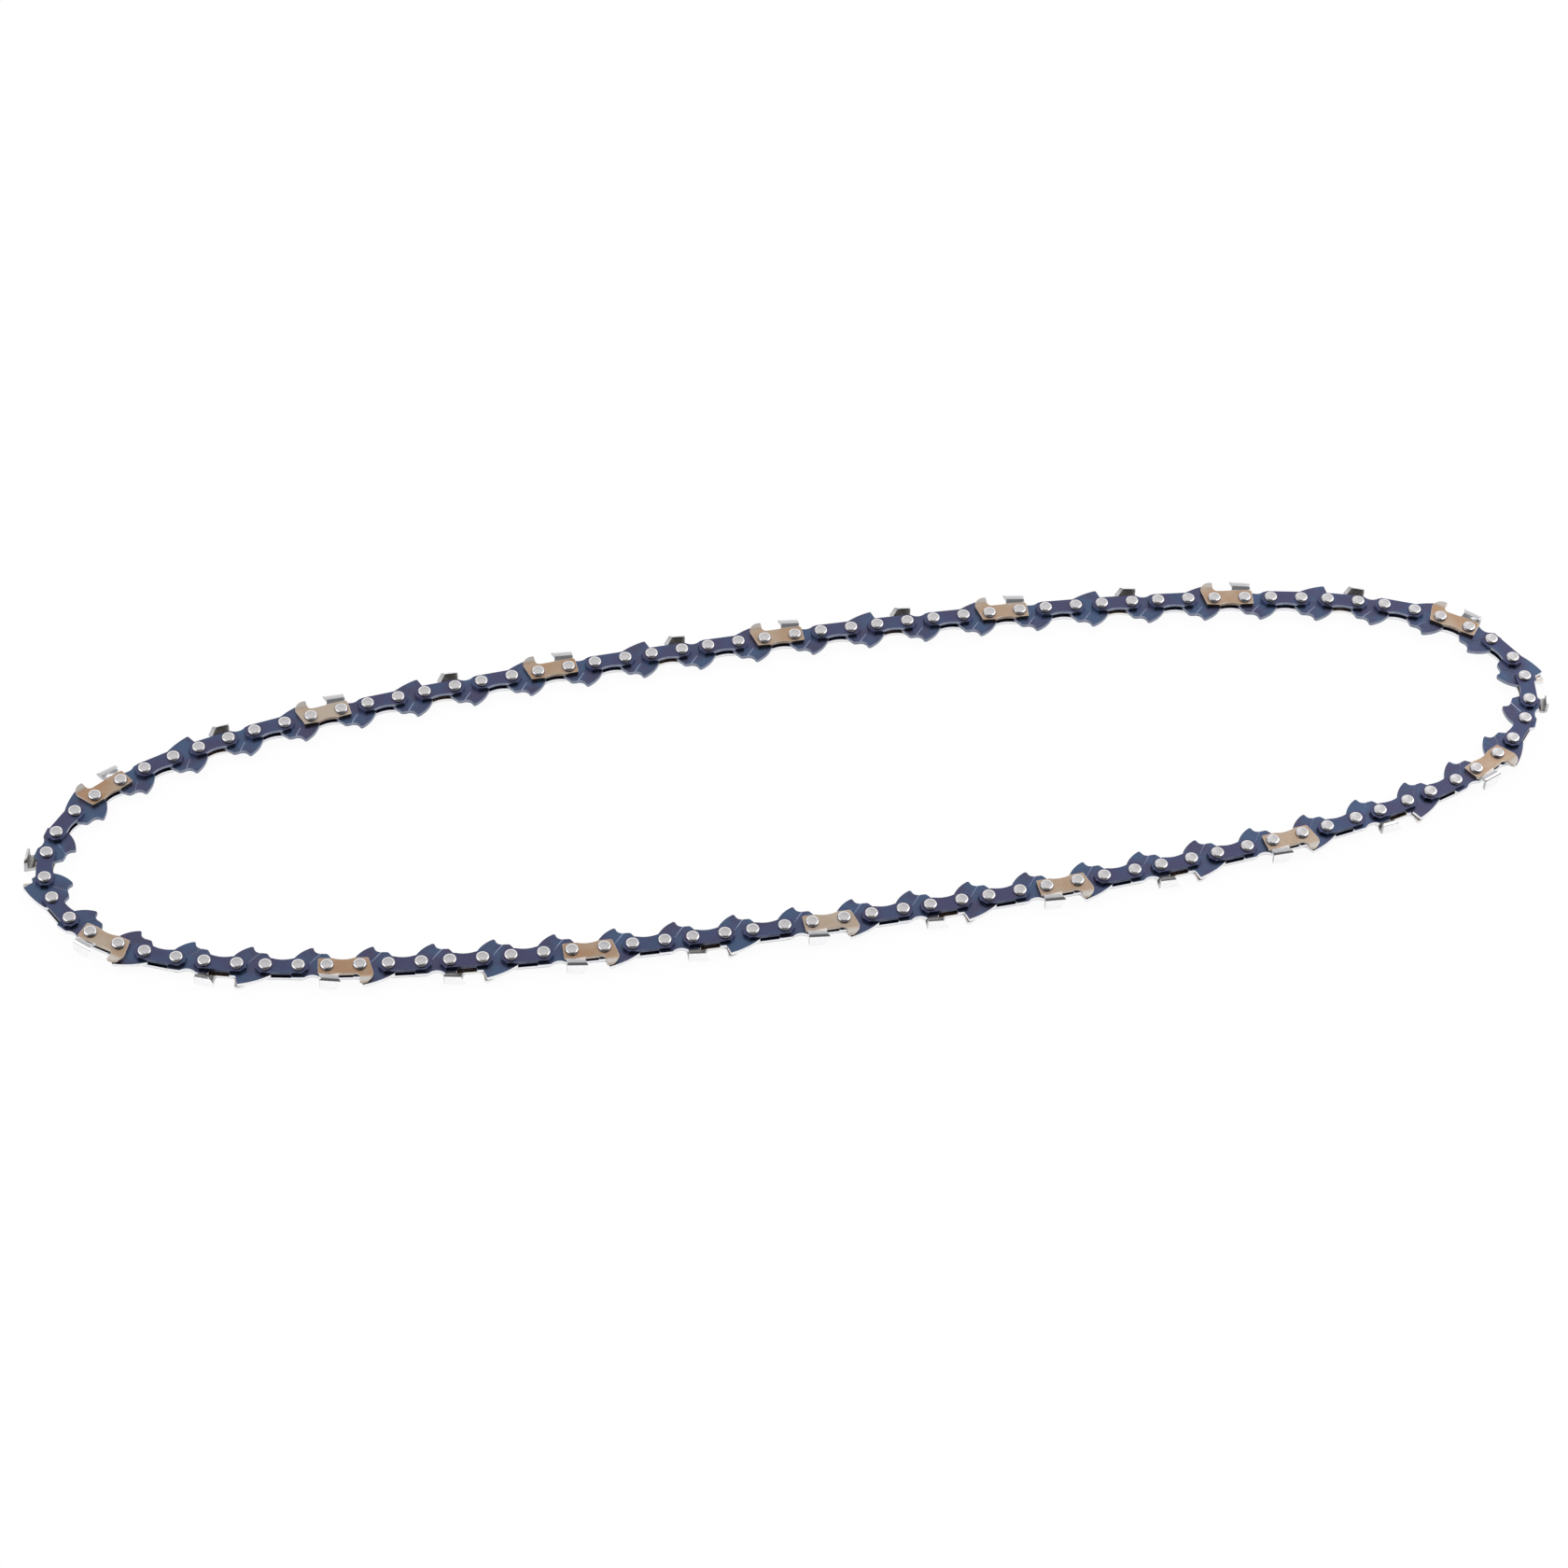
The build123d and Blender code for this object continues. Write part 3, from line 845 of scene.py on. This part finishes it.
# %% Section of the tooth
TOOTH_FLARE_L = 1.6
TOOTH_FLARE = 0.75
TOOTH_OUTER = 7.0
TOOTH_T = 0.9
TOOTH_W = 4.6
TOOTH_CORNER = 1.0
END_SLANT = 0.35
BEND_FROM, BEND_TO = 0.12, 0.8
FLARE_ROWS = (0.06, 0.12, 0.46, 0.8, 0.87, 0.94, 1.0)
CORNER_STEPS = 6
TOP_ROWS = (0.4, 0.75, 1.0)


def flared(t):
    """Share of the flare's rise at share t of its height: a slope with a short bend at each end."""
    slope = 2 / (1 + BEND_TO - BEND_FROM)
    start, end = max(BEND_FROM - t, 0) ** 2 / BEND_FROM, max(t - BEND_TO, 0) ** 2 / (1 - BEND_TO)
    return slope * (t - BEND_FROM / 2 + start / 2 - end / 2)


def tooth_sections():
    """Steps round the tooth's section: outer and inner (y, z), and how far the fall has set in."""
    crest = TOP_Z + TOOTH_FLARE
    hub_y, hub_z = TOOTH_OUTER - TOOTH_CORNER, crest - TOOTH_CORNER
    steps = []
    for t in FLARE_ROWS:
        rise = TOOTH_FLARE * flared(t)
        thick = PLATE_T + (TOOTH_T - PLATE_T) * t
        y = TOOTH_ROOT + TOOTH_FLARE_L * t
        steps.append(((y, TOP_Z + rise), (y, TOP_Z + rise - thick), t))
    for i in range(CORNER_STEPS + 1):
        a = math.radians(90 * i / CORNER_STEPS)
        radii = (TOOTH_CORNER, TOOTH_CORNER - TOOTH_T)
        outer, inner = [(hub_y + r * math.sin(a), hub_z + r * math.cos(a)) for r in radii]
        steps.append((outer, inner, 1.0))
    for t in TOP_ROWS:
        z = hub_z - (TOOTH_W - TOOTH_CORNER) * t
        steps.append(((TOOTH_OUTER, z + END_SLANT * t), (TOOTH_OUTER - TOOTH_T, z), 1.0))
    return steps


print("tooth:", len(tooth_sections()), "steps round its section")

# %% [markdown]
# Each step of the section carries a row of points from the rear of the tooth to its filed edge. The row
# falls to the rear, so that only the edge touches the wood. Bending a flat sheet with a modifier would
# be shorter, but then the file's round cut wouldn't end on a point of every row.

# %% Rows of the tooth
TOOTH_RELIEF = math.tan(math.radians(6.5))
TAIL_ROUND = 0.4
EDGE_PASSES = 4


def tooth_row(y, z, fall):
    """Points from the rear of the tooth to its filed edge, at one step round the section."""
    over = max(TOP_Z + TOOTH_FLARE - z - (TOOTH_W - TAIL_ROUND), 0)
    rear = REAR + TOOTH_REAR - TAIL_ROUND + math.sqrt(max(TAIL_ROUND ** 2 - over ** 2, 0))
    edge = FILE_X
    # The edge depends on the fall and the fall on the edge: a few passes settle both.
    for _ in range(EDGE_PASSES):
        edge = filed_x(y - (edge - FILE_X) * TOOTH_RELIEF * fall, z)
    row = [rear + (edge - rear) * i / ROOT_STEPS for i in range(ROOT_STEPS + 1)]
    return [(x, y - (x - FILE_X) * TOOTH_RELIEF * fall, z) for x in row]


print("each row has", ROOT_STEPS + 1, "points")

# %% [markdown]
# The rows become the skin of the tooth. Its faces get their finishes as they are made: chrome on the
# flare, chrome painted greyer as shade from the last row of the flare on round the bend and on the narrow
# end faces, a top plate painted near white as a painted bright reflection, and a dull inside. Both faces
# start at the rims of the side plate, so plate and tooth are one piece without a seam.

# %% Skin of the tooth
GULLET, FLARE, BEND, TOP, INSIDE = 3, 4, 5, 6, 7
BEND_ROW = len(FLARE_ROWS) - 1
TOP_PLATE_ROW = BEND_ROW + CORNER_STEPS


def tooth_sheets(bm, inner, outer):
    """The rows of points on the tooth's inner and outer face, each starting at a rim of the plate."""
    under, over = [inner[:ROOT_STEPS + 1]], [outer[:ROOT_STEPS + 1]]
    for outside, inside, fall in tooth_sections():
        for sheet, (y, z) in ((under, inside), (over, outside)):
            sheet.append([bm.verts.new(p) for p in tooth_row(y, z, fall)])
    return under, over


def tooth_skin(bm, under, over):
    """Faces between the rows, and narrow ones along the rear, the filed edge and the last row."""
    rows = len(over) - 1
    outside = [FLARE] * BEND_ROW + [BEND] * (TOP_PLATE_ROW - BEND_ROW) + [TOP] * (rows - TOP_PLATE_ROW)
    for sheet, row_finishes in ((under, [INSIDE] * rows), (over, outside)):
        for row, following, finish in zip(sheet, sheet[1:], row_finishes):
            for i in range(ROOT_STEPS):
                skin = bm.faces.new((row[i], row[i + 1], following[i + 1], following[i]))
                skin.material_index = finish
    ends = [
        (under[k][i], over[k][i], over[k + 1][i], under[k + 1][i]) for k in range(rows) for i in (0, -1)
    ]
    low, high = under[-1], over[-1]
    ends += [(low[i], low[i + 1], high[i + 1], high[i]) for i in range(ROOT_STEPS)]
    for end in ends:
        bm.faces.new(end).material_index = BEND


print("tooth finishes change at rows", BEND_ROW, "and", TOP_PLATE_ROW)

# %% [markdown]
# On a real cutter all edges are blunt but the filed one. The depth gauge is bent 5 degrees outward, so
# that it stands ahead of the flared tooth. A bend needs an edge to fold along, so the plate is cut with
# a plane there first, and then the points beyond that line are moved.

# %% Blunt edges and the bent gauge
FILED_TO = ROOT_STEPS + FILE_STEPS
GAUGE_BEND_FROM = 3.9
GAUGE_BEND = math.tan(math.radians(5))
GAUGE_BACK = FRONT + 1.0


def blunt_edges(bm, inner, outer, sheets):
    """The edges to round off: the rims behind the filed stretch, and the tooth's rear and last row."""
    count = len(inner)
    edges = [
        bm.edges.get((row[i], row[(i + 1) % count]))
        for row in (inner, outer) for i in range(FILED_TO, count)
    ]
    for sheet in sheets:
        edges += [bm.edges.get((row[0], following[0])) for row, following in zip(sheet, sheet[1:])]
        edges += [bm.edges.get((sheet[-1][i], sheet[-1][i + 1])) for i in range(ROOT_STEPS)]
    return edges


def bend_gauge(bm):
    """Bend the depth gauge outward, away from the chain, along a line across the plate."""
    everything = [item for items in (bm.verts, bm.edges, bm.faces) for item in items]
    middles = [(face, face.calc_center_median()) for face in bm.faces]
    tooth = [face for face, middle in middles if middle.x > 0 and middle.y > TOOTH_ROOT]
    kept = set(tooth) | {e for f in tooth for e in f.edges} | {v for f in tooth for v in f.verts}
    bmesh.ops.bisect_plane(
        bm, geom=[item for item in everything if item not in kept], dist=SAME_POINT,
        plane_co=(0, GAUGE_BEND_FROM, 0), plane_no=(0, 1, 0))
    for vert in bm.verts:
        if vert.co.x < GAUGE_BACK:
            vert.co.z += max(vert.co.y - GAUGE_BEND_FROM, 0) * GAUGE_BEND


print("gauge bends", GAUGE_BEND_FROM, "mm outside the line through the rivets")

# %% [markdown]
# Now the parts of the cutter are joined into one closed shape: two pierced sides, the skin of the tooth,
# and walls along every free edge. The rounded edges of the tooth get the chrome that is painted greyer
# round the bend as shade. The right-hand cutter is the same shape mirrored to the lower side of the chain,
# where its walls are painted near white, a painted bright reflection, so that they fade into the table.

# %% Cutters
CHROME_FROM = TOOTH_ROOT - 0.2
MERGED_WITHIN = 1e-3


def cutter(name, mirrored):
    bm = bmesh.new()
    inner, inner_holes = pierced_side(bm, cutter_rim(UPPER_Z), PLATE_PITCH, HUB_D, UPPER_Z, False)
    outer, outer_holes = pierced_side(bm, cutter_rim(TOP_Z), PLATE_PITCH, HUB_D, TOP_Z, True)
    walls(bm, inner, outer, WALL, skip=range(ROOT_STEPS))
    for lower, upper in zip(inner_holes, outer_holes):
        walls(bm, lower, upper, WALL)
    sheets = tooth_sheets(bm, inner, outer)
    tooth_skin(bm, *sheets)
    for i in range(ROOT_STEPS, FILED_TO):
        edge = bm.edges.get((inner[i], inner[i + 1]))
        next(f for f in edge.link_faces if outer[i] in f.verts).material_index = BEND
    blunt = blunt_edges(bm, inner, outer, sheets)
    bmesh.ops.recalc_face_normals(bm, faces=bm.faces)
    for face in round_edges(bm, blunt, RIM):
        middle = face.calc_center_median()
        if middle.x > FILE_X and middle.y > CHROME_FROM:
            face.material_index = BEND
    for face in bm.faces:
        if face.material_index == WALL and face.calc_center_median().y > HUB_D / 2:
            face.material_index = GULLET
    bmesh.ops.remove_doubles(bm, verts=bm.verts, dist=MERGED_WITHIN)
    bend_gauge(bm)
    if mirrored:
        flip = Matrix.Translation((0, 0, HEIGHT)) @ Matrix.Scale(-1, 4, (0, 0, 1))
        bmesh.ops.transform(bm, matrix=flip, verts=bm.verts)
    plate_walls = (painted_white_wall, painted_white_wall) if mirrored else (bronzed_wall, gullet_wall)
    chrome = (chromed_flare, painted_shade_bend, painted_white_top, dull_inside)
    return smoothed(worked(bm, name, (bronzed_plate, bronzed_edge) + plate_walls + chrome))


left_cutter = cutter("left_cutter", False)
right_cutter = cutter("right_cutter", True)

# %% [markdown]
# Every piece is drawn about the middle of its two rivets, with the chain running along x. On the loop it
# is moved to the middle between its rivets and turned to their heading. The pieces of one pitch ride on
# that pitch's body, and together they stand for its CAD node. Pieces of one kind share one mesh, which
# keeps the scene small and lets a change to the mesh show on all of them.

# %% Put the pieces on the loop
def put(name, mesh, spot, heading, body):
    piece = bpy.data.objects.new(name, mesh)
    bpy.context.scene.collection.objects.link(piece)
    turn = Matrix.Rotation(math.radians(heading), 4, "Z")
    piece.matrix_world = Matrix.Translation((spot.x * MM, spot.y * MM, 0)) @ turn
    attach(piece, body)
    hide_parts(body)


layout = ("right_cutter", "tie_straps", "left_cutter", "tie_straps")
for k in range(PITCHES):
    kind = layout[k % 4]
    body = f"link_{k + 1:02d}_{kind}"
    (first, heading), (second, turned), (third, _) = [rivets[(2 * k + i) % RIVETS] for i in range(3)]
    middle, number = (first + second) / 2, f"{k + 1:02d}"
    if kind == "left_cutter":
        put("left_cutter_" + number, left_cutter, middle, heading, body)
    else:
        put("upper_strap_" + number, upper_strap, middle, heading, body)
    if kind == "right_cutter":
        put("right_cutter_" + number, right_cutter, middle, heading, body)
    else:
        put("lower_strap_" + number, lower_strap, middle, heading, body)
    link = bumper_link if k % 2 else plain_link
    put("drive_link_" + number, link, (second + third) / 2, turned, body)
    put(f"rivet_{2 * k + 1:03d}", rivet_mesh, first, heading, body)
    put(f"rivet_{2 * k + 2:03d}", rivet_mesh, second, heading, body)

# %% [markdown]
# The table is a plain white sheet. To the camera, and in what the metal mirrors, nearly all of it is
# plain white, as in a catalogue picture, so that bright walls fade into it. The small rest takes light
# and shadow like any matt surface, so the chain keeps a faint shadow under it. Light that only bounces
# off the table sees plain paper.

# %% White table
FLOOR_HALF = 3.0
SEEN_WHITE = 0.95
MIRRORED_WHITE = 0.92


def white_table():
    """Matt paper, mixed with plain white for what the camera and mirrors see."""
    material, tree, out = bare_material("matt_white_paper")
    ray = add(tree, "ShaderNodeLightPath", {})
    seen = add(tree, "ShaderNodeMath", {
        "operation": "MULTIPLY", 0: ray.outputs["Is Camera Ray"], 1: SEEN_WHITE,
    }).outputs[0]
    mirrored = add(tree, "ShaderNodeMath", {
        "operation": "MAXIMUM", 0: ray.outputs["Is Glossy Ray"], 1: ray.outputs["Is Transmission Ray"],
    }).outputs[0]
    share = add(tree, "ShaderNodeMath", {
        "operation": "MULTIPLY_ADD", 0: mirrored, 1: MIRRORED_WHITE, 2: seen,
    }).outputs[0]
    paper = add(tree, "ShaderNodeBsdfDiffuse", {"Color": linear("#f4f4f3")})
    white = add(tree, "ShaderNodeEmission", {"Color": linear("#ffffff"), "Strength": 1.0})
    mixed = add(tree, "ShaderNodeMixShader", {0: share, 1: paper.outputs[0], 2: white.outputs[0]})
    tree.links.new(mixed.outputs[0], out.inputs[0])
    return material


sheet = bpy.data.meshes.new("table")
corners = [(-1, -1), (1, -1), (1, 1), (-1, 1)]
sheet.from_pydata([(x * FLOOR_HALF, y * FLOOR_HALF, 0) for x, y in corners], [], [(0, 1, 2, 3)])
sheet.materials.append(white_table())
table = bpy.data.objects.new("table", sheet)
bpy.context.scene.collection.objects.link(table)
table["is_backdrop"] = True
print("table:", 2 * FLOOR_HALF, "m square")

# %% [markdown]
# Metal looks like what it mirrors. The flat upper sides mirror the room behind the chain, about half way
# up, and upright walls mirror the table: both are bright, so their colours come out nearly as they are
# written. The room grows darker towards the side where the camera stands, high over the near edge of the
# table. That draws the dark bands on the teeth and the dark front of each rivet head.

# %% The room
DARK_SIDE = Vector((-0.14, -0.6, 0.79)).normalized()
# The cosine of the angle to the dark side, and the room's brightness, where the shading starts and ends.
SHADE_FROM, SHADE_TO = -0.5, 1.0
ROOM_BRIGHT, ROOM_DARK = 1.65, 0.18


def studio_world():
    """A room that is bright all round but for its dark side. The camera itself sees plain white."""
    world = bpy.data.worlds.new("studio")
    world.use_nodes = True
    tree = world.node_tree
    tree.nodes.clear()
    way = add(tree, "ShaderNodeTexCoord", {}).outputs["Generated"]
    toward = add(tree, "ShaderNodeVectorMath", {
        "operation": "DOT_PRODUCT", 0: way, 1: DARK_SIDE,
    }).outputs["Value"]
    level = add(tree, "ShaderNodeMapRange", {
        "interpolation_type": "SMOOTHSTEP", "Value": toward,
        "From Min": SHADE_FROM, "From Max": SHADE_TO, "To Min": ROOM_BRIGHT, "To Max": ROOM_DARK,
    }).outputs[0]
    room = add(tree, "ShaderNodeBackground", {"Color": linear("#ffffff"), "Strength": level})
    white = add(tree, "ShaderNodeBackground", {"Color": linear("#ffffff"), "Strength": 1.0})
    seen = add(tree, "ShaderNodeLightPath", {}).outputs["Is Camera Ray"]
    mixed = add(tree, "ShaderNodeMixShader", {0: seen, 1: room.outputs[0], 2: white.outputs[0]})
    add(tree, "ShaderNodeOutputWorld", {"Surface": mixed.outputs[0]})
    return world


bpy.context.scene.world = studio_world()
print("room: from", ROOM_BRIGHT, "down to", ROOM_DARK, "on its dark side")

# %% [markdown]
# Two large lamps left and right light the table and soften the shadows. Their size is what makes the
# shadows soft: a small lamp of the same power would draw hard ones.

# %% Lamps
LAMP_SIZE = 1.2
LAMP_POWER = 10.0


def softbox(name, spot):
    """A large square lamp that faces the middle of the table."""
    lamp = bpy.data.lights.new(name, "AREA")
    lamp.shape, lamp.size, lamp.energy = "SQUARE", LAMP_SIZE, LAMP_POWER
    box = bpy.data.objects.new(name, lamp)
    bpy.context.scene.collection.objects.link(box)
    box.location = spot
    box.rotation_mode = "QUATERNION"
    box.rotation_quaternion = (-Vector(spot)).to_track_quat("-Z", "Y")


softbox("left_softbox", (-1.0, 0.1, 0.9))
softbox("right_softbox", (1.0, 0.1, 0.9))

# %% [markdown]
# The picture was taken with a long lens from about 49 degrees above the table, a little from the left,
# and the camera was turned slightly, which is why the loop rises to the right. The place and the lens
# come from the spacing of the rivets in the picture.

# %% Camera
CAMERA_SPOT = Vector((-0.2384, -0.9474, 1.1134))
CAMERA_TARGET = Vector((-0.0069, -0.0032, 0.0048))
CAMERA_ROLL = math.radians(2.687)
SENSOR_W = 36.0
FOCAL_L = 107.5
lens = bpy.data.cameras.new("camera")
lens.sensor_fit, lens.sensor_width, lens.lens = "HORIZONTAL", SENSOR_W, FOCAL_L
lens.clip_start, lens.clip_end = 0.05, 50.0
camera = bpy.data.objects.new("camera", lens)
bpy.context.scene.collection.objects.link(camera)
camera.location = CAMERA_SPOT
camera.rotation_mode = "QUATERNION"
looking = (CAMERA_TARGET - CAMERA_SPOT).to_track_quat("-Z", "Y")
camera.rotation_quaternion = looking @ Matrix.Rotation(CAMERA_ROLL, 3, "Z").to_quaternion()
bpy.context.scene.camera = camera
bpy.context.scene.view_settings.view_transform = "Standard"
print("camera at", [round(v, 3) for v in camera.location])

# %% Measure and finish
dressed_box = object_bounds()
growth = [round((b - a) / MM, 2) for one, two in zip(cad_box, dressed_box) for a, b in zip(one, two)]
print("grown by", growth, "mm")
